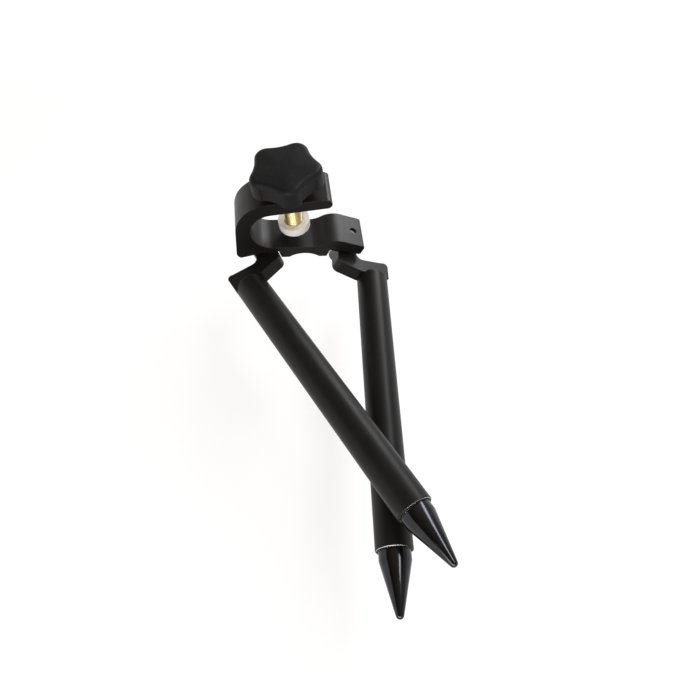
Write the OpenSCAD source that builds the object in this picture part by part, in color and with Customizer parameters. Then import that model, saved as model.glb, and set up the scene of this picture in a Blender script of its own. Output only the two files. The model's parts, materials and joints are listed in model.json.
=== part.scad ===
// Prism pole bipod: a hook clamp with a lobed hand screw carries two swinging legs that end
// in steel points. It is drawn in millimetres, lying on a bench with its legs swung together.
//
// The clamp frame has X towards the open mouth, Y along the pole and Z towards the knob, with
// its origin on the pocket floor. Each leg has its own frame at its hinge, on top of the wing.

/* [Clamp body] */
// Length of the clamp along the pole
clamp_w = 22; // [16:0.5:30]
// Radius of the closed end of the pole pocket
pocket_r = 13; // [11:0.5:15]
// Distance from the middle of the clamp to the centre of the pocket's closed end
pocket_reach = 18; // [17:0.25:19]
// Wall behind the closed end of the pocket
hook_wall = 8; // [6:0.5:10]
// Slope of the underside of the upper arm, in degrees
arm_slope = 9; // [6:0.5:11]
// Slope of the top of the upper arm, in degrees
arm_top_slope = 5; // [3:0.5:6]
// Distance from the middle of the clamp to the centre of the rounded nose
nose_reach = 10.5; // [9:0.5:13]
// Half width of the flat part of the pocket floor
floor_half = 4; // [3.5:0.25:5]
// Radius of the hollow between the floor and the lip
floor_r = 12; // [11:0.5:13]
// Steepest slope of the lip, in degrees
lip_rise = 36; // [34:0.5:38]
// Radius over the lip
lip_r = 12; // [11.5:0.25:12.5]
// Depth of the middle boss below the pocket floor
boss_depth = 8; // [7:0.25:9]
// Half width of the arch under the middle boss
arch_half = 8.7; // [7:0.1:9.5]
// Height of the arch under the middle boss
arch_rise = 3; // [2:0.25:4]
// Gap between the lip and the wall of the middle boss, along the wing
boss_setback = 4.5; // [4.4:0.1:5]

/* [Wings] */
// Downward slope of the wings, in degrees
wing_slope = 20; // [18:0.5:22]
// Thickness of the wings
wing_t = 7; // [6:0.25:8]
// Length of a wing from the lip to its end
wing_len = 14.2; // [14:0.1:16]
// Distance along the wing from the lip to the hinge
hinge_along = 7.8; // [7.5:0.1:8]
// Rounding of the wing ends
wing_round = 1.5; // [0.5:0.25:2.5]

/* [Hand screw] */
// Distance from the middle of the clamp to the screw, measured at the upper arm
screw_back = 8.5; // [7.5:0.25:9.5]
// Diameter of the brass screw
screw_d = 10; // [8:0.5:12]
// Height of the pad's face below the upper arm
pad_drop = 22; // [18:0.5:22.5]
// Diameter of the nylon pad
pad_d = 18; // [16:0.5:19]
// Thickness of the nylon pad
pad_t = 6; // [5:0.25:7]
// Rounding of the pad's lower edge
pad_round = 2; // [1:0.25:2.5]
// Depth of the seat for the screw in the pad
pad_seat = 2; // [1.5:0.25:2.5]
// Diameter of the small screw that holds the pad
pad_screw_d = 4; // [3:0.5:5]
// Diameter of the head of that screw
pad_screw_head_d = 7.4; // [7:0.2:8]
// Thickness of the head of that screw
pad_screw_head_t = 1.8; // [1.4:0.1:2]
// Length of that screw inside the brass screw
pad_screw_len = 8; // [6:0.5:12]

/* [Knob] */
// Diameter over the lobes
knob_d = 40; // [34:1:44]
// Radius of a lobe
lobe_r = 7; // [6.5:0.25:7.5]
// Radius of the hollows between the lobes
hollow_r = 8.5; // [7:0.5:12]
// Number of lobes
lobes = 5; // [5:1:6]
// Height of the knob
knob_h = 13; // [11:0.5:16]
// Rounding of the knob's top edge
knob_round = 2.5; // [1.5:0.25:4]
// Rise of the crowned top
knob_crown = 1; // [0.5:0.25:1.5]
// Gap between the knob and the upper arm
knob_gap = 4.5; // [4:0.25:8]
// Depth of the sunk panels between the lobes
panel_depth = 0.8; // [0.5:0.1:1.2]
// Width of the sunk panels
panel_w = 11.5; // [9:0.25:12.5]
// Rim left above the sunk panels
panel_rim = 4; // [3.5:0.25:6]
// Depth to which the brass screw is moulded into the knob
screw_grip = 9; // [6:0.5:10]

/* [Hinges] */
// Diameter of the shoulder on which a leg swings
shoulder_d = 6; // [5:0.25:7]
// Diameter of the hinge screw's thread in the wing
hinge_thread_d = 4; // [3:0.25:4.5]
// Depth of the end of the hinge screw below the top of the wing
hinge_sink = 1.2; // [0.8:0.1:2]
// Diameter of the hinge screw's head
hinge_head_d = 10; // [9:0.25:11]
// Thickness of the hinge screw's head
hinge_head_t = 4; // [3:0.25:5]
// Distance across the flats of the head's socket
socket_af = 4; // [3:0.5:5]
// Depth of the head's socket
socket_depth = 2.2; // [1.5:0.1:2.5]
// Diameter of the friction washer
friction_d = 11.6; // [10.5:0.2:11.8]
// Thickness of the friction washer
friction_t = 2; // [1.6:0.1:2.2]
// Diameter of the plain washer
plain_d = 11; // [10.5:0.25:11.5]
// Thickness of the plain washer
plain_t = 1; // [0.8:0.1:1.4]
// Diameter of the spring washer
spring_d = 10; // [9.5:0.25:10.5]
// Thickness of the spring washer
spring_t = 1.2; // [1:0.1:1.6]
// Width of the split in the spring washer
spring_split = 1; // [0.8:0.1:1.4]

/* [Legs] */
// Radius of the lug round the hinge
lug_r = 6; // [5.9:0.05:6.1]
// Thickness of the dog-leg arm
arm_t = 9; // [8:0.25:10]
// Sideways distance from the hinge to the axis of the tube
tube_offset = 18; // [17.5:0.25:20]
// Distance along the leg from the hinge to the end of the tube
tube_start = 21; // [20:0.25:23]
// Distance along the leg from the hinge to the front of the elbow
elbow_front = 18.8; // [18:0.1:20]
// Rounding of the elbow
elbow_r = 4; // [3:0.25:5]
// Distance along the leg from the hinge to the back corner of the tube block
block_back = 9.8; // [9:0.1:11]
// Radius of the notch between the lug and the tube block
notch_r = 4; // [3.5:0.25:4.5]
// Distance along the leg from the hinge to the bottom of the notch
notch_depth = 12; // [11:0.25:12.5]
// Slope of the back of the tube block, in degrees
block_slope = 8; // [6:1:10]
// Rounding of the back corner of the tube block
block_round = 2.5; // [1.5:0.25:3]
// Outer diameter of the leg tube
tube_d = 18; // [16:0.5:18.5]
// Wall of the leg tube
tube_wall = 1.5; // [1:0.1:2.5]
// Length of the leg tube
tube_len = 163; // [120:1:200]
// Chamfer on the ends of the leg tube
tube_chamfer = 0.5; // [0.3:0.1:0.8]
// Length of the arm's spigot inside the tube
spigot_len = 18; // [12:1:30]
// Length of the plug in the foot of the tube
plug_len = 20; // [18:1:30]
// Step from the bore of the tube in to the base of the steel point
point_step = 0.25; // [0.1:0.05:1]
// Length of the straight base of the steel point
point_base = 3; // [2:0.25:4]
// Length of the steel point
point_len = 29.5; // [24:0.5:40]
// Radius of the blunt nose of the steel point
point_nose_r = 1.9; // [1:0.1:2.2]
// Diameter of the threaded stud of the steel point
stud_d = 8; // [6:0.5:9]
// Length of the threaded stud of the steel point
stud_len = 14; // [10:0.5:16]

/* [Pose] */
// Inward swing of the right leg, in degrees
swing_right = 5; // [2:0.25:5.25]
// Inward swing of the left leg, in degrees
swing_left = 25.5; // [25:0.25:26.5]
// Turn of the knob, in degrees
knob_turn = -12; // [-36:1:36]

/* [Clearances] */
// Radial clearance of a turning or threaded fit
running_clear = 0.05; // [0.02:0.01:0.1]
// Radial clearance of a fixed fit
fixed_clear = 0.02; // [0.01:0.01:0.05]
// Clearance round the loose pad
pad_clear = 0.3; // [0.2:0.05:0.5]
// Room above a swinging lug
lug_gap = 0.3; // [0.2:0.05:0.5]
// Margin of the washer's seat round the washer
seat_margin = 0.6; // [0.4:0.1:1]
// Clearance between faces that slide on each other
face_clear = 0.05; // [0.02:0.01:0.1]

/* [Hidden] */
$fn = 64;
over = 1;
arc_step = 5;

// Pocket and upper arm, as points [x, z] of the clamp's profile
pocket_c = [-pocket_reach, pocket_r];
hook_r = pocket_r + hook_wall;
arm_in = pocket_c + pocket_r * [-sin(arm_slope), cos(arm_slope)];
arm_out = pocket_c + hook_r * [-sin(arm_top_slope), cos(arm_top_slope)];
nose_in = [nose_reach, arm_in[1] + (nose_reach - arm_in[0]) * tan(arm_slope)];
nose_out = [nose_reach, arm_out[1] + (nose_reach - arm_out[0]) * tan(arm_top_slope)];
nose_c = (nose_in + nose_out) / 2;
nose_r = (nose_out[1] - nose_in[1]) / 2;

// Lip and wing of the right side; the left side is its mirror image
lip_start = [floor_half + floor_r * sin(lip_rise), floor_r - floor_r * cos(lip_rise)];
lip_c = lip_start + lip_r * [sin(lip_rise), -cos(lip_rise)];
wing_start = lip_c + lip_r * [sin(wing_slope), cos(wing_slope)];
hinge_x = wing_start[0] + hinge_along * cos(wing_slope);
hinge_z = wing_start[1] - hinge_along * sin(wing_slope);
arch_r = (arch_half * arch_half + arch_rise * arch_rise) / (2 * arch_rise);

// Heights in a hinge's own frame, downwards from the top of the wing
arm_top = wing_t + friction_t + 2 * face_clear;
arm_bottom = arm_top + arm_t;
axis_drop = arm_top + arm_t / 2;
plain_top = arm_bottom + face_clear;
spring_top = plain_top + plain_t;
head_top = spring_top + spring_t;

// Hand screw, as heights above the underside of the upper arm
screw_foot_z = -pad_drop + pad_t - pad_seat + pad_clear;
arm_depth = (arm_out[1] + (-screw_back - arm_out[0]) * tan(arm_top_slope)
    - arm_in[1] - (-screw_back - arm_in[0]) * tan(arm_slope)) * cos(arm_slope);
knob_foot = arm_depth + knob_gap;
head_recess = pad_screw_head_t + pad_clear;

// Knob: centres of a lobe and of the hollow beside it, and the direction in which they meet
lobe_half = 180 / lobes;
lobe_c = knob_d / 2 - lobe_r;
hollow_c = lobe_c * cos(lobe_half) + sqrt(pow(lobe_r + hollow_r, 2) - pow(lobe_c * sin(lobe_half), 2));
meet = atan2(hollow_c * sin(lobe_half), hollow_c * cos(lobe_half) - lobe_c);

// The plane on which the part lies: under both tubes' upper ends and the right point's nose
tube_r = tube_d / 2;
function wing_out(side) = [side * cos(wing_slope), 0, -sin(wing_slope)];
function wing_up(side) = [side * sin(wing_slope), 0, cos(wing_slope)];
function leg_along(side, swing) = -cos(swing) * [0, 1, 0] - sin(swing) * wing_out(side);
function leg_out(side, swing) = cos(swing) * wing_out(side) - sin(swing) * [0, 1, 0];
function leg_point(side, swing, along) = [side * hinge_x, 0, hinge_z] + tube_offset * leg_out(side, swing)
    - axis_drop * wing_up(side) + along * leg_along(side, swing);
function unit(v) = v / norm(v);
right_end = leg_point(1, swing_right, tube_start);
left_end = leg_point(-1, swing_left, tube_start);
nose_end = leg_point(1, swing_right, tube_start + tube_len + point_len - point_nose_r);
across = unit(right_end - left_end);
leg_run = (right_end - nose_end) - ((right_end - nose_end) * across) * across;
lie_dip = asin((tube_r - point_nose_r) / norm(leg_run));
bench_up = cos(lie_dip) * cross(across, unit(leg_run)) + sin(lie_dip) * unit(leg_run);
bench_y = unit([0, 1, 0] - bench_up[1] * bench_up);
bench_x = cross(bench_y, bench_up);

// Reference point: the middle of the pocket floor
module lay() {
    multmatrix([concat(bench_x, 0), concat(bench_y, 0), concat(bench_up, 0)]) children();
}

// Puts a hinge frame on the wing of either side
module at_hinge(side) {
    mirror([side < 0 ? 1 : 0, 0, 0])
        translate([hinge_x, 0, hinge_z])
            rotate([0, wing_slope, 0])
                children();
}

// Puts a leg frame at the hinge, swung inwards
module at_leg(side) {
    at_hinge(side)
        rotate([0, 0, -(side < 0 ? swing_left : swing_right)])
            children();
}

// Puts the tube's axis, from the tube's upper end downwards, along +Z
module along_tube(side) {
    at_leg(side)
        translate([tube_offset, -tube_start, -axis_drop])
            rotate([90, 0, 0])
                children();
}

// Puts the hand screw's axis along +Z, with z = 0 on the underside of the upper arm
module along_screw() {
    translate([-screw_back, 0, arm_in[1] + (-screw_back - arm_in[0]) * tan(arm_slope)])
        rotate([0, -arm_slope, 0])
            children();
}

// Points of an arc, from one direction to another
function arc(centre, radius, from, to) =
    let (steps = max(2, ceil(abs(to - from) / arc_step)))
    [for (i = [0:steps]) centre + radius * along(from + (to - from) * i / steps)];
function along(angle) = [cos(angle), sin(angle)];
function inner(points) = [for (i = [1:len(points) - 2]) points[i]];
function turned(points, angle) = [for (p = points) p[0] * along(angle) + p[1] * along(angle + 90)];

// Point of the right wing's frame, with the lip's end as its origin
function in_wing(along, up) = wing_start
    + along * [cos(wing_slope), -sin(wing_slope)] + up * [sin(wing_slope), cos(wing_slope)];
function flip(points) = [for (i = [len(points) - 1:-1:0]) [-points[i][0], points[i][1]]];

// Right half of the underside, from the wing's lower corner to the middle of the arch
seat_edge = hinge_along - friction_d / 2 - seat_margin;
room_top = arm_top - lug_gap;
boss_top = in_wing(-boss_setback, -room_top);
boss_foot = boss_top - (boss_top[1] + boss_depth) * [tan(wing_slope), 1];
under_half = concat([in_wing(seat_edge, -wing_t), in_wing(seat_edge, -room_top), boss_top, boss_foot],
    arc([0, arch_rise - boss_depth - arch_r], arch_r, 90 - asin(arch_half / arch_r), 90));
wing_end = concat(
    arc(in_wing(wing_len - wing_round, -wing_round), wing_round, 90 - wing_slope, -wing_slope),
    arc(in_wing(wing_len - wing_round, wing_round - wing_t), wing_round, -wing_slope, -90 - wing_slope));
heel_r = hook_wall / 2;
heel_x = pocket_reach + hook_r - heel_r;
heel_z = wing_start[1] - (heel_x - wing_start[0]) * tan(wing_slope) - (wing_t - heel_r) / cos(wing_slope);

module clamp_profile() {
    polygon(concat(
        arc([floor_half, floor_r], floor_r, -90, lip_rise - 90),
        arc(lip_c, lip_r, 90 + lip_rise, 90 - wing_slope),
        wing_end,
        under_half,
        flip(under_half),
        arc([-heel_x, heel_z], heel_r, 270 - wing_slope, 180),
        arc(pocket_c, hook_r, 180, 90 + arm_top_slope),
        arc(nose_c, nose_r, 90, -90),
        arc(pocket_c, pocket_r, 90 + arm_slope, 270)));
}

module clamp_body() {
    color([0.07, 0.07, 0.075]) lay() difference() {
        rotate([90, 0, 0]) linear_extrude(clamp_w, center = true) clamp_profile();
        along_screw() translate([0, 0, -over])
            cylinder(d = screw_d + 2 * running_clear, h = arm_depth + 2 * over);
        at_hinge(1) translate([0, 0, -wing_t - over])
            cylinder(d = hinge_thread_d + 2 * fixed_clear, h = wing_t + 2 * over);
        at_hinge(-1) translate([0, 0, -wing_t - over])
            cylinder(d = hinge_thread_d + 2 * fixed_clear, h = wing_t + over - hinge_sink + face_clear);
    }
}

module pressure_pad() {
    pad_r = pad_d / 2;
    color([0.93, 0.93, 0.9]) lay() along_screw() translate([0, 0, -pad_drop]) difference() {
        rotate_extrude() {
            translate([0, pad_round]) square([pad_r, pad_t - pad_round]);
            square([pad_r - pad_round, pad_t]);
            translate([pad_r - pad_round, pad_round]) circle(pad_round);
        }
        translate([0, 0, pad_t - pad_seat]) cylinder(d = screw_d + 2 * pad_clear, h = pad_seat + over);
        translate([0, 0, -over]) cylinder(d = pad_screw_d + 2 * pad_clear, h = pad_t + 2 * over);
        translate([0, 0, -over]) cylinder(d = pad_screw_head_d + 2 * pad_clear, h = head_recess + over);
    }
}

module pad_screw() {
    color([0.6, 0.6, 0.62]) lay() along_screw() {
        translate([0, 0, -pad_drop + head_recess - pad_screw_head_t - face_clear])
            cylinder(d = pad_screw_head_d, h = pad_screw_head_t);
        translate([0, 0, -pad_drop + head_recess - face_clear - over / 2])
            cylinder(d = pad_screw_d, h = screw_foot_z + pad_drop - head_recess + face_clear + pad_screw_len);
    }
}

module clamp_screw() {
    length = knob_foot + screw_grip - screw_foot_z;
    color([0.8, 0.6, 0.25]) lay() along_screw() translate([0, 0, screw_foot_z]) difference() {
        cylinder(d = screw_d, h = length);
        translate([0, 0, -over]) cylinder(d = pad_screw_d + 2 * fixed_clear, h = pad_screw_len + over);
    }
}

// One lobe and the hollow that follows it
lobe_points = concat(arc([lobe_c, 0], lobe_r, -meet, meet),
    inner(arc(hollow_c * along(lobe_half), hollow_r, 180 + meet, 180 + 2 * lobe_half - meet)));

knob_points = [for (i = [0:lobes - 1]) each turned(lobe_points, 2 * i * lobe_half)];

module knob() {
    knob_r = knob_d / 2;
    bore_depth = screw_grip + fixed_clear;
    crown_r = (knob_r * knob_r + knob_crown * knob_crown) / (2 * knob_crown);
    color([0.06, 0.06, 0.065]) lay() along_screw() translate([0, 0, knob_foot]) rotate(knob_turn)
    difference() {
        intersection() {
            linear_extrude(knob_h) polygon(knob_points);
            rotate_extrude() {
                square([knob_r + over, knob_h - knob_crown - knob_round]);
                square([knob_r - knob_round, knob_h]);
                translate([knob_r - knob_round, knob_h - knob_crown - knob_round]) circle(knob_round);
            }
            translate([0, 0, knob_h - crown_r]) sphere(crown_r);
        }
        for (i = [0:lobes - 1]) rotate((2 * i + 1) * lobe_half) intersection() {
            translate([hollow_c, 0, -over])
                cylinder(r = hollow_r + panel_depth, h = knob_h - panel_rim + over);
            translate([0, -panel_w / 2, -over]) cube([knob_r, panel_w, knob_h]);
        }
        translate([0, 0, -over]) cylinder(d = screw_d + 2 * fixed_clear, h = bore_depth + over);
    }
}

// Outline of a dog-leg arm: the lug, the elbow and the block that carries the tube
module arm_outline() {
    block_in = tube_offset - tube_r;
    block_out = tube_offset + tube_r;
    notch_c = [lug_r + notch_r, notch_r - notch_depth];
    notch_end = notch_c + notch_r * [sin(block_slope), -cos(block_slope)];
    corner = [block_out - block_round, -block_back - block_round];
    back_end = [corner[0], notch_end[1] + (corner[0] - notch_end[0]) * tan(block_slope)];
    elbow_c = [elbow_r - lug_r, elbow_r - elbow_front];
    circle(lug_r);
    translate(elbow_c) circle(elbow_r);
    translate(corner) circle(block_round);
    difference() {
        polygon([[lug_r, 0], [lug_r, notch_c[1]], notch_end,
            [corner[0], min(back_end[1], corner[1] + block_round)],
            corner, [block_out, corner[1]], [block_out, -tube_start], [block_in, -tube_start],
            [elbow_c[0], -elbow_front], elbow_c, [-lug_r, elbow_c[1]], [-lug_r, 0]]);
        translate(notch_c) circle(notch_r);
    }
}

module arm(side) {
    color([0.07, 0.07, 0.075]) lay() {
        difference() {
            at_leg(side) translate([0, 0, -arm_bottom]) linear_extrude(arm_t) arm_outline();
            at_leg(side) translate([0, 0, -arm_bottom - over])
                cylinder(d = shoulder_d + 2 * running_clear, h = arm_t + 2 * over);
        }
        along_tube(side) translate([0, 0, -tube_wall])
            cylinder(d = tube_d - 2 * tube_wall - 2 * fixed_clear, h = spigot_len + tube_wall);
    }
}

module tube(side) {
    bore_r = tube_r - tube_wall;
    color([0.08, 0.075, 0.075]) lay() along_tube(side) rotate_extrude()
        polygon([[bore_r, 0], [tube_r - tube_chamfer, 0], [tube_r, tube_chamfer],
            [tube_r, tube_len - tube_chamfer], [tube_r - tube_chamfer, tube_len], [bore_r, tube_len]]);
}

module end_plug(side) {
    color([0.45, 0.45, 0.47]) lay() along_tube(side) translate([0, 0, tube_len - plug_len]) difference() {
        cylinder(d = tube_d - 2 * tube_wall - 2 * fixed_clear, h = plug_len);
        translate([0, 0, plug_len - stud_len - over])
            cylinder(d = stud_d + 2 * fixed_clear, h = stud_len + 2 * over);
    }
}

module point(side) {
    point_r = tube_r - tube_wall - point_step;
    cone_end = point_len - point_nose_r;
    color([0.16, 0.17, 0.18]) lay() along_tube(side) translate([0, 0, tube_len]) {
        rotate_extrude() {
            polygon([[0, 0], [point_r, 0], [point_r, point_base], [point_nose_r, cone_end], [0, cone_end]]);
            intersection() {
                translate([0, cone_end]) circle(point_nose_r);
                translate([0, cone_end - point_nose_r]) square(2 * point_nose_r);
            }
        }
        translate([0, 0, -stud_len]) cylinder(d = stud_d, h = stud_len + over);
    }
}

module hinge_screw(side) {
    shoulder_top = wing_t + face_clear;
    color([0.5, 0.5, 0.52]) lay() at_hinge(side) difference() {
        union() {
            translate([0, 0, -head_top - hinge_head_t]) cylinder(d = hinge_head_d, h = hinge_head_t);
            translate([0, 0, -head_top - over]) cylinder(d = shoulder_d, h = head_top - shoulder_top + over);
            translate([0, 0, -shoulder_top - over])
                cylinder(d = hinge_thread_d, h = shoulder_top - hinge_sink + over);
        }
        translate([0, 0, -head_top - hinge_head_t - over])
            cylinder(d = socket_af / cos(30), h = socket_depth + over, $fn = 6);
    }
}

// A washer in a hinge's frame, with its top a given depth below the top of the wing
module washer(side, top, diameter, thickness) {
    at_hinge(side) translate([0, 0, -top - thickness]) difference() {
        cylinder(d = diameter, h = thickness);
        translate([0, 0, -over]) cylinder(d = shoulder_d + 2 * running_clear, h = thickness + 2 * over);
    }
}

module friction_washer(side) {
    color([0.2, 0.2, 0.2]) lay() washer(side, wing_t + face_clear, friction_d, friction_t);
}

module plain_washer(side) {
    color([0.7, 0.7, 0.72]) lay() washer(side, plain_top, plain_d, plain_t);
}

module spring_washer(side) {
    color([0.55, 0.55, 0.57]) lay() difference() {
        washer(side, spring_top, spring_d, spring_t);
        at_hinge(side) translate([0, -spring_split / 2, -spring_top - spring_t - over])
            cube([spring_d, spring_split, spring_t + 2 * over]);
    }
}

clamp_body();
pressure_pad();
pad_screw();
clamp_screw();
knob();
arm(1);  // right_arm
tube(1);  // right_tube
end_plug(1);  // right_end_plug
point(1);  // right_point
hinge_screw(1);  // right_hinge_screw
friction_washer(1);  // right_friction_washer
plain_washer(1);  // right_plain_washer
spring_washer(1);  // right_spring_washer
arm(-1);  // left_arm
tube(-1);  // left_tube
end_plug(-1);  // left_end_plug
point(-1);  // left_point
hinge_screw(-1);  // left_hinge_screw
friction_washer(-1);  // left_friction_washer
plain_washer(-1);  // left_plain_washer
spring_washer(-1);  // left_spring_washer
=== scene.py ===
"""Prism pole bipod: finishes, thread, knob, points, stage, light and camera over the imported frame.

Lengths are in metres, in the frame's own axes: Z up from the bench, Y along the pole.
"""
import json
import math

import bmesh
import bpy
from mathutils import Matrix, Quaternion, Vector


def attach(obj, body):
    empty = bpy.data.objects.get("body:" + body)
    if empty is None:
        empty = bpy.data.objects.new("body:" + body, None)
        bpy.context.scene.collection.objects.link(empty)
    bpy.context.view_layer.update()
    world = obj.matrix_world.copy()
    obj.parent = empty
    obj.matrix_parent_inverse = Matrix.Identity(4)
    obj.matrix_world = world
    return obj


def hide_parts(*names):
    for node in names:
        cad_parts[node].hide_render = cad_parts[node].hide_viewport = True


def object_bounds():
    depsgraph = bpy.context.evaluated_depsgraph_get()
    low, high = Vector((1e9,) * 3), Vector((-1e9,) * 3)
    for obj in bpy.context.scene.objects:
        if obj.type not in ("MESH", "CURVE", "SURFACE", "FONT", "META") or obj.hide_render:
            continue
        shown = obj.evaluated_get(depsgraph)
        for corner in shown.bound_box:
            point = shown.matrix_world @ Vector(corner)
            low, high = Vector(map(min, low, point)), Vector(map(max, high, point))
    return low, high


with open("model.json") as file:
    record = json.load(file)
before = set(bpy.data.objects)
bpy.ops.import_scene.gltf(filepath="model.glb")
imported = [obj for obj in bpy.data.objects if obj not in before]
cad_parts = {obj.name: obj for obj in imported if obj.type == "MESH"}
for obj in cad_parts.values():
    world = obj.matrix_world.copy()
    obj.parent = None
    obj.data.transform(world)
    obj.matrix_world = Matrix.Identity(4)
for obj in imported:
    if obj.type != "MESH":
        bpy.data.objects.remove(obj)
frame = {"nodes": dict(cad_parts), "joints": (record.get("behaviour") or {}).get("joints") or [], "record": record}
cad_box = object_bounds()
nodes = frame["nodes"]
joints = {joint["name"]: joint for joint in frame["joints"]}

MM = 0.001

# Photograph: its side in pixels, the focal length in pixels, and where the camera stood
PHOTO_PX = 700
FOCAL_PX = 650
CAMERA_AT = Vector((-45.3, -279.3, 265.3)) * MM
CAMERA_LOOKS_AT = Vector((16.4, -85.7, 0.0)) * MM
CAMERA_ROLL = math.radians(12.6)
SENSOR_MM = 36.0
NEAREST_SEEN = 0.01

# Hand screw thread: the groove is flat at its bottom and has sloping flanks
THREAD_PITCH = 1.5 * MM
THREAD_DEPTH = 0.75 * MM
GROOVE_WIDTH = 1.25
FLANK_SLOPE = 3.2
THREAD_SIDES = 48
ROWS_PER_TURN = 12

# Hand knob: lobes, hollows with sunk panels, and the rounded and crowned top
KNOB_LOBES = 5
LOBE_RADIUS = 7 * MM
HOLLOW_RADIUS = 26 * MM
PANEL_DEPTH = 0.7 * MM
PANEL_TOP = 8.4 * MM
KNOB_ROUND = 3 * MM
KNOB_CROWN = 1 * MM
KNOB_CHAMFER = 0.5 * MM
LOBE_STEPS = 18
HOLLOW_STEPS = 8

# Steel points: straight base, its edge break, and the blunt nose
POINT_RADIUS = 7.7 * MM
POINT_BASE = 4.5 * MM
POINT_BREAK = 0.4 * MM
NOSE_RADIUS = 1.9 * MM

# Fineness of round forms, and the distance at which two vertices are one
ROUND_SIDES = 64
ROUND_STEPS = 8
COVE_STEPS = 10
SAME_PLACE = 0.001 * MM

# Widths of the finishes' features
RIM_WIDTH = 0.22 * MM
EDGE_ROUND = 0.35 * MM
FINE_EDGE = 0.15 * MM
NYLON_EDGE = 0.5 * MM
MOULDED_EDGE = 1.2 * MM
SHARP_ANGLE = math.radians(40)
TURNING_PITCH = 0.35 * MM

# Sheen of a sawn end, of the drawn faces of each kind of piece, and of the knob
CUT_SHEEN = 0.1
CLAMP_SHEEN = 0.3
ARM_SHEEN = 0.25
TUBE_SHEEN = 0.18
KNOB_SHEEN = 0.14

# Colours: a dark and a light one where a finish varies between two
ANODISED = (0.0052, 0.0047, 0.0046), (0.0085, 0.008, 0.0082)
# Edge colour of the anodised pieces: partly wear, partly a painted highlight along the edges
ANODISED_EDGE_WEAR_AND_HIGHLIGHT = (0.05, 0.048, 0.046)
ANODISED_DUST = (0.06, 0.055, 0.05)
BARE_RIM = (0.6, 0.6, 0.62)
MOULDED = (0.0048, 0.0049, 0.0054), (0.0085, 0.0088, 0.0096)
# Knob edges: painted sheen, a lighter black put on the rounded edges
MOULDED_EDGE_SHEEN = (0.02, 0.021, 0.023)
MOULDED_DUST = (0.06, 0.062, 0.066)
PLATE = (0.03, 0.031, 0.034), (0.05, 0.052, 0.056)
PLATE_WORN = (0.2, 0.2, 0.2)
BRASS = (0.9, 0.7, 0.34), (0.98, 0.86, 0.54)
ZINC = (0.4, 0.4, 0.41), (0.62, 0.62, 0.62)
# Hinge screws: zinc darkened to paint the shade inside the hinge holes where their ends show
ZINC_PAINTED_SHADE = (0.05, 0.05, 0.052), (0.12, 0.12, 0.122)
ALUMINIUM = (0.58, 0.58, 0.59), (0.76, 0.76, 0.77)
NYLON = (0.74, 0.73, 0.69), (0.82, 0.81, 0.77)
FIBRE = (0.03, 0.025, 0.02), (0.1, 0.085, 0.07)
WHITE = (1, 1, 1, 1)

# Studio: room under the part for the legs' swing, the floor with its cove and wall, and how
# the floor's glow grows from near the part to far from it, where 1 is white
SWING_ROOM = 40 * MM
FLOOR_REACH = 2.4
COVE_RADIUS = 0.8
WALL_HEIGHT = 1.1
FLOOR_GREY = 0.3
FLOOR_GLOW = 0.72
GLOW_NEAR = 0.3
GLOW_FAR = 1.2

# Light: the room's dim and bright side with its fade between them, and the lamps' colours
BRIGHT_SIDE = Vector((0.6, 0.5, 0.6)).normalized()
ROOM_FADE = {"From Min": -0.3, "From Max": 0.9, "To Min": 0.1, "To Max": 0.5}
ROOM_TINT = (1.0, 0.8, 0.6, 1)
LIT_MIDDLE = Vector((0.0, -0.07, 0.02))
DAYLIGHT = (0.95, 0.97, 1.0)
LAMPLIGHT = (1.0, 0.96, 0.9)

POLE = Vector(frame["record"]["mounts"][0]["axis"]).normalized()


# Shader nodes

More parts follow.
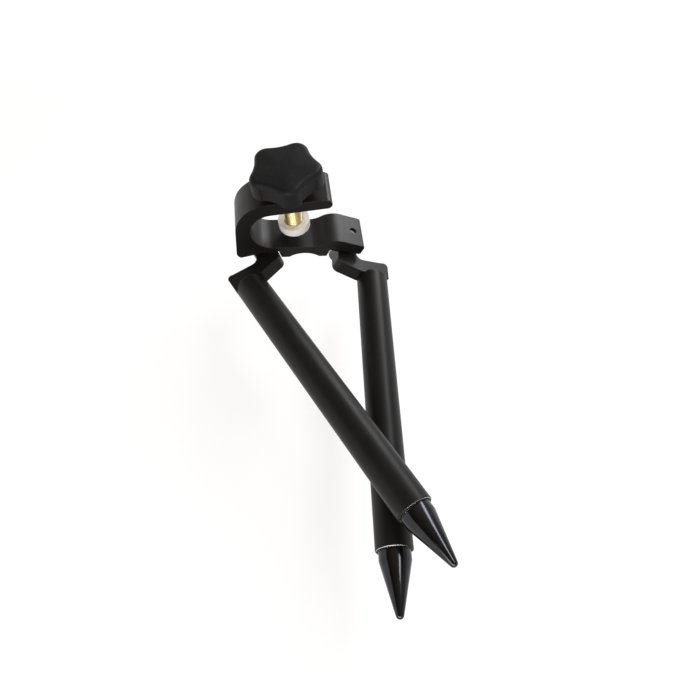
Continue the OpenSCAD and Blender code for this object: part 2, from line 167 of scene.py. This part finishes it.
class Finish:
    """A material under construction: one Principled shader and short calls to add nodes."""

    def __init__(self, name):
        self.material = bpy.data.materials.new(name)
        self.material.use_nodes = True
        self.tree = self.material.node_tree
        self.shader = self.tree.nodes["Principled BSDF"]

    def add(self, kind, inputs=None, **settings):
        """A new node, with its settings and with each input linked or set."""
        node = self.tree.nodes.new("ShaderNode" + kind)
        for key, value in settings.items():
            setattr(node, key, value)
        for key, value in (inputs or {}).items():
            self.put(node.inputs[key], value)
        return node

    def put(self, socket, value):
        if isinstance(value, bpy.types.NodeSocket):
            self.tree.links.new(value, socket)
        else:
            socket.default_value = value

    def set(self, **inputs):
        """Principled inputs by name, with underscores for spaces."""
        for key, value in inputs.items():
            self.put(self.shader.inputs[key.replace("_", " ")], value)

    def place(self):
        return self.add("TexCoord").outputs["Object"]

    def noise(self, scale, detail, place=None):
        inputs = {"Vector": place or self.place(), "Scale": scale, "Detail": detail}
        return self.add("TexNoise", inputs).outputs["Fac"]

    def spread(self, value, low, high, start=0.0, stop=1.0):
        """Maps start..stop to low..high and stays within them."""
        node = self.add("MapRange", {"Value": value, "From Min": start, "From Max": stop,
                                     "To Min": low, "To Max": high})
        return node.outputs["Result"]

    def mix(self, value, first, last):
        """Colour between two colours, each a triple or a socket."""
        node = self.add("Mix", data_type="RGBA")
        for i, part in ((0, value), (6, first), (7, last)):
            self.put(node.inputs[i], (*part, 1) if isinstance(part, tuple) else part)
        return node.outputs[2]

    def maths(self, operation, first, second=0.0):
        return self.add("Math", {0: first, 1: second}, operation=operation).outputs[0]

    def times(self, first, second):
        return self.maths("MULTIPLY", first, second)

    def vector(self, operation, first, second):
        return self.add("VectorMath", {0: first, 1: second}, operation=operation).outputs

    def dot(self, first, second):
        return self.vector("DOT_PRODUCT", first, second)["Value"]

    def minus(self, first, second):
        return self.vector("SUBTRACT", first, second)["Vector"]

    def along(self, start, direction):
        """Distance from start along a direction."""
        return self.dot(self.minus(self.place(), start), direction)

    def drawn_out(self, direction, share=0.02):
        """Texture place that is stretched along a direction, for extrusion and drawing marks."""
        place = self.place()
        run = self.dot(place, direction * (1 - share))
        back = self.add("VectorMath", {0: direction, "Scale": run}, operation="SCALE")
        return self.minus(place, back.outputs["Vector"])

    def edges(self, radius):
        """Normal that is rounded at the edges, and how much of an edge a place is."""
        rounded = self.add("Bevel", {"Radius": radius}, samples=8).outputs["Normal"]
        flat = self.dot(rounded, self.add("NewGeometry").outputs["Normal"])
        return rounded, self.spread(flat, low=1.0, high=0.0, start=0.86, stop=0.995)

    def relief(self, height, depth, strength, normal):
        bump = self.add("Bump", {"Height": height, "Distance": depth,
                                 "Strength": strength, "Normal": normal})
        self.set(Normal=bump.outputs["Normal"])


def axis_of(node):
    """Start, unit direction and length of a long round node, from the centres of its halves."""
    points = [v.co.copy() for v in nodes[node].data.vertices]
    middle = sum(points, Vector()) / len(points)
    far = max(points, key=lambda p: (p - middle).length)
    direction = (far - middle).normalized()
    for _ in range(3):
        ends = [[p for p in points if side * (p - middle).dot(direction) > 0] for side in (-1, 1)]
        centres = [sum(group, Vector()) / len(group) for group in ends]
        direction = (centres[1] - centres[0]).normalized()
    spans = [(p - middle).dot(direction) for p in points]
    return middle + min(spans) * direction, direction, max(spans) - min(spans)


# Finishes

def outer_rim(finish, tube):
    """1 on the outer edge of a tube's ends, and 0 elsewhere."""
    start, axis, length = axis_of(tube)
    middle = start + axis * length / 2
    radius = max((v.co - middle).cross(axis).length for v in nodes[tube].data.vertices)
    run = finish.along(middle, axis)
    near_end = finish.maths("GREATER_THAN", finish.maths("ABSOLUTE", run), length / 2 - RIM_WIDTH)
    spot = finish.minus(finish.place(), middle)
    out_squared = finish.maths("SUBTRACT", finish.dot(spot, spot), finish.times(run, run))
    near_skin = finish.maths("GREATER_THAN", finish.maths("SQRT", out_squared),
                             radius - 2 * RIM_WIDTH)
    return finish.times(near_end, near_skin)


def black_anodised(name, direction, sheen, tube=None):
    """Satin black anodised aluminium, drawn along a direction, with edges lightened partly as wear and partly as a
    painted highlight; a tube's ends have a bare rim.
    """
    finish = Finish(name)
    rounded, edge = finish.edges(EDGE_ROUND)
    grain = finish.noise(scale=2600, detail=3)
    cloud = finish.noise(scale=45, detail=5)
    drawn = finish.noise(scale=900, detail=4, place=finish.drawn_out(direction))
    speck = finish.noise(scale=700, detail=2)
    dust = finish.spread(speck, low=0.0, high=1.0, start=0.74, stop=0.8)
    # Edges lighten, varied along the drawing marks: partly edge wear, partly a painted highlight
    edge_wear_and_highlight = finish.times(edge, finish.spread(drawn, low=0.1, high=0.6))
    edges_lightened = finish.mix(edge_wear_and_highlight, finish.mix(cloud, *ANODISED), ANODISED_EDGE_WEAR_AND_HIGHLIGHT)
    colour = finish.mix(finish.times(dust, 0.25), edges_lightened, ANODISED_DUST)
    streaks = finish.maths("ADD", finish.times(drawn, 0.6), cloud)
    facing = finish.dot(finish.add("NewGeometry").outputs["Normal"], direction)
    cut = finish.maths("GREATER_THAN", finish.maths("ABSOLUTE", facing), 0.9)
    finish.set(Base_Color=colour,
               Roughness=finish.spread(streaks, low=0.34, high=0.48, start=0.4, stop=1.2),
               Specular_IOR_Level=finish.spread(cut, low=sheen, high=CUT_SHEEN))
    if tube:
        bare = outer_rim(finish, tube)
        finish.set(Base_Color=finish.mix(bare, colour, BARE_RIM), Metallic=bare)
    finish.relief(finish.maths("ADD", grain, drawn), 0.012 * MM, 0.3, rounded)
    return finish.material


def moulded_black():
    """Black moulded plastic with the fine spark-eroded texture of its mould, and a painted sheen that lightens its
    edges.
    """
    finish = Finish("moulded_black")
    rounded, edge = finish.edges(MOULDED_EDGE)
    grain = finish.noise(scale=2400, detail=2)
    cloud = finish.noise(scale=70, detail=4)
    speck = finish.noise(scale=1300, detail=3)
    dust = finish.spread(speck, low=0.0, high=0.35, start=0.62, stop=0.72)
    # Painted sheen: the rounded edges are mixed towards a lighter black
    edges_lightened = finish.mix(finish.times(edge, 0.35), finish.mix(cloud, *MOULDED), MOULDED_EDGE_SHEEN)
    finish.set(Base_Color=finish.mix(dust, edges_lightened, MOULDED_DUST),
               Roughness=finish.spread(grain, low=0.42, high=0.6, start=0.3, stop=0.7),
               Specular_IOR_Level=KNOB_SHEEN)
    finish.relief(grain, 0.06 * MM, 0.6, rounded)
    return finish.material


def dark_plated(name, node):
    """Polished steel under a black nickel plate, with faint rings from turning."""
    finish = Finish(name)
    start, axis, _ = axis_of(node)
    rounded, edge = finish.edges(EDGE_ROUND)
    smear = finish.noise(scale=160, detail=5)
    rings = finish.maths("SINE", finish.times(finish.along(start, axis), math.tau / TURNING_PITCH))
    black = finish.mix(smear, *PLATE)
    finish.set(Base_Color=finish.mix(finish.times(edge, 0.5), black, PLATE_WORN),
               Metallic=1.0, Roughness=finish.spread(smear, low=0.1, high=0.2))
    height = finish.maths("ADD", finish.times(rings, 0.2), smear)
    finish.relief(height, 0.006 * MM, 0.2, rounded)
    return finish.material


def turned_metal(name, colours, rough):
    """Bare or plated metal, smeared and lightly scratched."""
    finish = Finish(name)
    rounded, edge = finish.edges(FINE_EDGE)
    smear = finish.noise(scale=420, detail=5)
    scratch = finish.noise(scale=2600, detail=3)
    _, bright = colours
    finish.set(Base_Color=finish.mix(finish.times(edge, 0.3), finish.mix(smear, *colours), bright),
               Metallic=1.0,
               Roughness=finish.spread(finish.times(smear, scratch), low=rough, high=rough + 0.25))
    finish.relief(scratch, 0.01 * MM, 0.3, rounded)
    return finish.material


def natural_nylon():
    """Milky nylon that lets a little light through."""
    finish = Finish("natural_nylon")
    rounded, _ = finish.edges(NYLON_EDGE)
    cloud = finish.noise(scale=160, detail=4)
    finish.set(Base_Color=finish.mix(cloud, *NYLON),
               Roughness=finish.spread(cloud, low=0.34, high=0.5),
               Subsurface_Weight=0.2, Subsurface_Scale=1.5 * MM)
    finish.relief(finish.noise(scale=1800, detail=3), 0.02 * MM, 0.3, rounded)
    return finish.material


def friction_fibre():
    """Pressed dark fibre."""
    finish = Finish("friction_fibre")
    rounded, _ = finish.edges(FINE_EDGE)
    fleck = finish.noise(scale=2000, detail=6)
    finish.set(Base_Color=finish.mix(fleck, *FIBRE),
               Roughness=finish.spread(fleck, low=0.7, high=0.9))
    finish.relief(fleck, 0.03 * MM, 0.6, rounded)
    return finish.material


def paint(node, material):
    nodes[node].data.materials.clear()
    nodes[node].data.materials.append(material)


# Pieces

def skin(shape, rings):
    """Faces from each ring of vertices to the next, all the way round."""
    for lower, upper in zip(rings, rings[1:]):
        for i in range(len(lower)):
            shape.faces.new((lower[i - 1], lower[i], upper[i], upper[i - 1]))


def smooth_object(name, shape):
    """An object from a finished shape, smooth but for its sharp edges."""
    for face in shape.faces:
        face.smooth = True
    for edge in shape.edges:
        edge.smooth = edge.calc_face_angle(0.0) < SHARP_ANGLE
    mesh = bpy.data.meshes.new(name)
    shape.to_mesh(mesh)
    shape.free()
    made = bpy.data.objects.new(name, mesh)
    bpy.context.scene.collection.objects.link(made)
    return made


def groove(height, turn):
    """Depth of the thread's groove at a height, after a share of a turn."""
    phase = (height / THREAD_PITCH - turn) % 1.0
    return THREAD_DEPTH * min(1.0, max(0.0, GROOVE_WIDTH - abs(phase - 0.5) * FLANK_SLOPE))


def threaded_rod(name, node, axis):
    """A rod with a helical thread, as long and as thick as a CAD node, pointing along axis."""
    start, direction, length = axis_of(node)
    if direction.dot(axis) < 0:
        start, direction = start + length * direction, -direction
    middle = start + direction * length / 2
    radius = max((v.co - middle).cross(direction).length for v in nodes[node].data.vertices)
    across = direction.orthogonal().normalized()
    rows = int(length / THREAD_PITCH * ROWS_PER_TURN)
    shape = bmesh.new()
    rings = []
    for height in (length * row / rows for row in range(rows + 1)):
        rings.append([])
        for turn in (side / THREAD_SIDES for side in range(THREAD_SIDES)):
            out = Quaternion(direction, math.tau * turn) @ across
            spot = start + direction * height + out * (radius - groove(height, turn))
            rings[-1].append(shape.verts.new(spot))
    skin(shape, rings)
    shape.faces.new(reversed(rings[0]))
    shape.faces.new(rings[-1])
    return smooth_object(name, shape)


def steps(count):
    """Even steps from -1 to 1."""
    return [2 * i / count - 1 for i in range(count + 1)]


def heading(angle):
    return Vector((math.cos(angle), math.sin(angle)))


def knob_outline(reach, inset, sunk):
    """Outline round the lobes, moved in by inset; the hollows lie in by a further sunk."""
    half = math.pi / KNOB_LOBES
    lobe_out = reach - LOBE_RADIUS
    rise = math.sqrt((LOBE_RADIUS + HOLLOW_RADIUS) ** 2 - (lobe_out * math.sin(half)) ** 2)
    hollow_out = lobe_out * math.cos(half) + rise
    to_hollow = hollow_out * heading(half) - lobe_out * heading(0)
    meet = math.atan2(to_hollow.y, to_hollow.x)
    points = []
    for lobe in range(KNOB_LOBES):
        turn = 2 * half * lobe
        points += [lobe_out * heading(turn) + (LOBE_RADIUS - inset) * heading(turn + meet * step)
                   for step in steps(LOBE_STEPS)]
        points += [hollow_out * heading(turn + half)
                   - (HOLLOW_RADIUS + inset + sunk) * heading(turn + half - (meet - half) * step)
                   for step in steps(HOLLOW_STEPS)]
    return points


def knob_rings(reach, height):
    """Rings of the knob from its foot to the edge of its crown: each a height and an outline."""
    shoulder = height - KNOB_CROWN - KNOB_ROUND
    panel = knob_outline(reach, 0.0, PANEL_DEPTH)
    rings = [(0.0, knob_outline(reach, KNOB_CHAMFER, PANEL_DEPTH)),
             (KNOB_CHAMFER, panel),
             (PANEL_TOP, panel),
             (PANEL_TOP + KNOB_CHAMFER / 2, knob_outline(reach, 0.0, 0.0))]
    for i in range(ROUND_STEPS + 1):
        lean = math.pi / 2 * i / ROUND_STEPS
        rings.append((shoulder + KNOB_ROUND * math.sin(lean),
                      knob_outline(reach, KNOB_ROUND * (1 - math.cos(lean)), 0.0)))
    edge = knob_outline(reach, KNOB_ROUND, 0.0)
    for i in range(1, ROUND_STEPS):
        share = 1 - i / ROUND_STEPS
        rings.append((height - KNOB_CROWN * share ** 2, [share * point for point in edge]))
    return rings


def lobed_knob(name, node, joint):
    """A lobed knob in the place of a CAD node, turned as the node is about the joint's axis."""
    axis = Vector(joint["axis"]).normalized()
    centre = Vector(joint["pos_m"])
    spots = [v.co - centre for v in nodes[node].data.vertices]
    heights = [spot.dot(axis) for spot in spots]
    outward = [spot - height * axis for spot, height in zip(spots, heights)]
    tip = max(outward, key=lambda o: o.length)
    ahead = tip.normalized()
    beside = axis.cross(ahead)
    foot = centre + min(heights) * axis
    height = max(heights) - min(heights)
    shape = bmesh.new()
    rings = [[shape.verts.new(foot + z * axis + p.x * ahead + p.y * beside) for p in outline]
             for z, outline in knob_rings(tip.length, height)]
    crown = shape.verts.new(foot + height * axis)
    skin(shape, rings)
    last = rings[-1]
    for i in range(len(last)):
        shape.faces.new((last[i - 1], last[i], crown))
    shape.faces.new(reversed(rings[0]))
    bmesh.ops.remove_doubles(shape, verts=shape.verts, dist=SAME_PLACE)
    return smooth_object(name, shape)


def point_profile(length):
    """Radius and distance from the tube, from the base of a point to its nose."""
    profile = [(POINT_RADIUS - POINT_BREAK, 0.0),
               (POINT_RADIUS, POINT_BREAK),
               (POINT_RADIUS, POINT_BASE)]
    nose = length - NOSE_RADIUS
    slope = math.atan2(POINT_RADIUS - NOSE_RADIUS, nose - POINT_BASE)
    for i in range(ROUND_STEPS + 1):
        lean = slope + (math.pi / 2 - slope) * i / ROUND_STEPS
        profile.append((NOSE_RADIUS * math.cos(lean), nose + NOSE_RADIUS * math.sin(lean)))
    return profile


def turned_point(name, node, tube):
    """A turned point in the place of a CAD node, pointing away from its tube."""
    start, axis, length = axis_of(tube)
    spots = [v.co for v in nodes[node].data.vertices]
    if (spots[0] - start).dot(axis) < length / 2:
        start, axis = start + length * axis, -axis
    reach = max((spot - start).dot(axis) for spot in spots) - length
    foot = start + length * axis
    across = axis.orthogonal().normalized()
    round_about = [Quaternion(axis, math.tau * i / ROUND_SIDES) @ across
                   for i in range(ROUND_SIDES)]
    shape = bmesh.new()
    rings = [[shape.verts.new(foot + far * axis + radius * out) for out in round_about]
             for radius, far in point_profile(reach)]
    skin(shape, rings)
    shape.faces.new(reversed(rings[0]))
    bmesh.ops.remove_doubles(shape, verts=shape.verts, dist=SAME_PLACE)
    return smooth_object(name, shape)


def dress():
    """Paints the CAD nodes, and puts the knob, the thread and the points in their places."""
    brass = turned_metal("turned_brass", BRASS, rough=0.26)
    steel = turned_metal("zinc_plated", ZINC, rough=0.22)
    bare = turned_metal("bare_aluminium", ALUMINIUM, rough=0.26)
    shaded_zinc = turned_metal("zinc_painted_shade", ZINC_PAINTED_SHADE, rough=0.3)
    fibre = friction_fibre()
    pieces = []
    paint("clamp_body", black_anodised("extruded_black", POLE, CLAMP_SHEEN))
    paint("pressure_pad", natural_nylon())
    paint("pad_screw", steel)
    for side in ("right_", "left_"):
        _, leg, _ = axis_of(side + "tube")
        paint(side + "arm", black_anodised(side + "arm_black", leg, ARM_SHEEN))
        paint(side + "tube", black_anodised(side + "tube_black", leg, TUBE_SHEEN, side + "tube"))
        paint(side + "end_plug", bare)
        point = turned_point(side + "turned_point", side + "point", side + "tube")
        point.data.materials.append(dark_plated(side + "point_plate", side + "point"))
        pieces.append((point, side + "point", "dark_steel", side + "leg"))
        paint(side + "friction_washer", fibre)
        # The hinge screws carry painted shade: their zinc is darkened so the hinge holes read dark
        paint(side + "hinge_screw", shaded_zinc)
        for piece in ("plain_washer", "spring_washer"):
            paint(side + piece, steel)
    rod = threaded_rod("screw_thread", "clamp_screw", Vector(joints["knob_turn"]["axis"]))
    rod.data.materials.append(brass)
    knob = lobed_knob("lobed_knob", "knob", joints["knob_turn"])
    knob.data.materials.append(moulded_black())
    pieces.append((rod, "clamp_screw", "brass", "hand_screw"))
    pieces.append((knob, "knob", "knob_plastic", "hand_screw"))
    for piece, node, slot, body in pieces:
        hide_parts(node)
        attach(piece, body)


# Stage

def backdrop_profile():
    """Distance out and height of the floor, the cove round it and the wall above."""
    cove = [(FLOOR_REACH + COVE_RADIUS * math.sin(lean), COVE_RADIUS * (1 - math.cos(lean)))
            for lean in (math.pi / 2 * i / COVE_STEPS for i in range(COVE_STEPS + 1))]
    return [*cove, (FLOOR_REACH + COVE_RADIUS, WALL_HEIGHT)]


def white_sheet():
    """Pale grey in the light it throws back, and white to the eye and in reflections."""
    finish = Finish("white_sheet")
    rays = finish.add("LightPath").outputs
    mirrored = finish.maths("MAXIMUM", rays["Is Glossy Ray"], rays["Is Transmission Ray"])
    seen = finish.maths("MAXIMUM", rays["Is Camera Ray"], mirrored)
    distance = finish.vector("LENGTH", finish.place(), (0, 0, 0))["Value"]
    glow = finish.spread(distance, low=FLOOR_GLOW, high=1.0, start=GLOW_NEAR, stop=GLOW_FAR)
    finish.set(Base_Color=(FLOOR_GREY, FLOOR_GREY, FLOOR_GREY, 1), Roughness=0.9,
               Specular_IOR_Level=0.0, Emission_Color=WHITE,
               Emission_Strength=finish.times(seen, glow))
    return finish.material


def floor():
    """A wide sheet below the part that curves up into walls."""
    low = Vector((0, 0, cad_box[0][2] - SWING_ROOM))
    round_about = [heading(math.tau * i / ROUND_SIDES) for i in range(ROUND_SIDES)]
    shape = bmesh.new()
    rings = [[shape.verts.new(low + Vector((*(out * way), height))) for way in round_about]
             for out, height in backdrop_profile()]
    shape.faces.new(rings[0])
    skin(shape, [ring[::-1] for ring in rings])
    sheet = smooth_object("floor", shape)
    sheet.data.materials.append(white_sheet())


def soft_box(name, at, run, size, radiance, colour):
    """A lamp that faces the part, with its long side along run; radiance 1 looks white."""
    light = bpy.data.lights.new(name, "AREA")
    light.shape = "RECTANGLE"
    light.size, light.size_y = size
    light.energy = radiance * math.pi * size[0] * size[1]
    light.color = colour
    back = (Vector(at) - LIT_MIDDLE).normalized()
    across = Vector(run).cross(back).normalized()
    turned = Matrix((across, back.cross(across), back)).transposed()
    lamp = bpy.data.objects.new(name, light)
    lamp.matrix_world = Matrix.LocRotScale(Vector(at), turned, None)
    bpy.context.scene.collection.objects.link(lamp)


def lights():
    soft_box("strip", at=(0.45, 0.25, 0.75), run=(0.4, 0.9, 0), size=(0.16, 1.5),
             radiance=10.0, colour=DAYLIGHT)
    soft_box("back", at=(0.36, 0.75, 0.72), run=(1, 0, 0), size=(0.25, 0.35),
             radiance=9.0, colour=DAYLIGHT)
    soft_box("front", at=(-0.2, -0.8, 0.25), run=(1, 0, 0), size=(0.4, 0.9),
             radiance=6.0, colour=LAMPLIGHT)
    world = bpy.data.worlds.new("studio")
    world.use_nodes = True
    room(world.node_tree)
    bpy.context.scene.world = world


def room(tree):
    """Walls that grow from a dim warm grey to white towards the bright side."""
    ground = tree.nodes["Background"]
    facing = tree.nodes.new("ShaderNodeVectorMath")
    facing.operation = "DOT_PRODUCT"
    facing.inputs[1].default_value = BRIGHT_SIDE
    fade = tree.nodes.new("ShaderNodeMapRange")
    for socket, value in ROOM_FADE.items():
        fade.inputs[socket].default_value = value
    tint = tree.nodes.new("ShaderNodeMix")
    tint.data_type = "RGBA"
    tint.inputs[6].default_value = ROOM_TINT
    tint.inputs[7].default_value = WHITE
    place = tree.nodes.new("ShaderNodeTexCoord")
    tree.links.new(place.outputs["Generated"], facing.inputs[0])
    tree.links.new(facing.outputs["Value"], fade.inputs["Value"])
    tree.links.new(fade.outputs["Result"], tint.inputs[0])
    tree.links.new(tint.outputs[2], ground.inputs["Color"])
    tree.links.new(fade.outputs["Result"], ground.inputs["Strength"])


def camera():
    data = bpy.data.cameras.new("camera")
    data.sensor_width = SENSOR_MM
    data.lens = FOCAL_PX / PHOTO_PX * SENSOR_MM
    data.clip_start = NEAREST_SEEN
    eye = bpy.data.objects.new("camera", data)
    level = (CAMERA_LOOKS_AT - CAMERA_AT).to_track_quat("-Z", "Y")
    eye.rotation_mode = "QUATERNION"
    eye.rotation_quaternion = level @ Quaternion((0, 0, 1), CAMERA_ROLL)
    eye.location = CAMERA_AT
    bpy.context.scene.collection.objects.link(eye)
    bpy.context.scene.camera = eye


dress()
floor()
lights()
camera()
bpy.context.scene.view_settings.view_transform = "Standard"
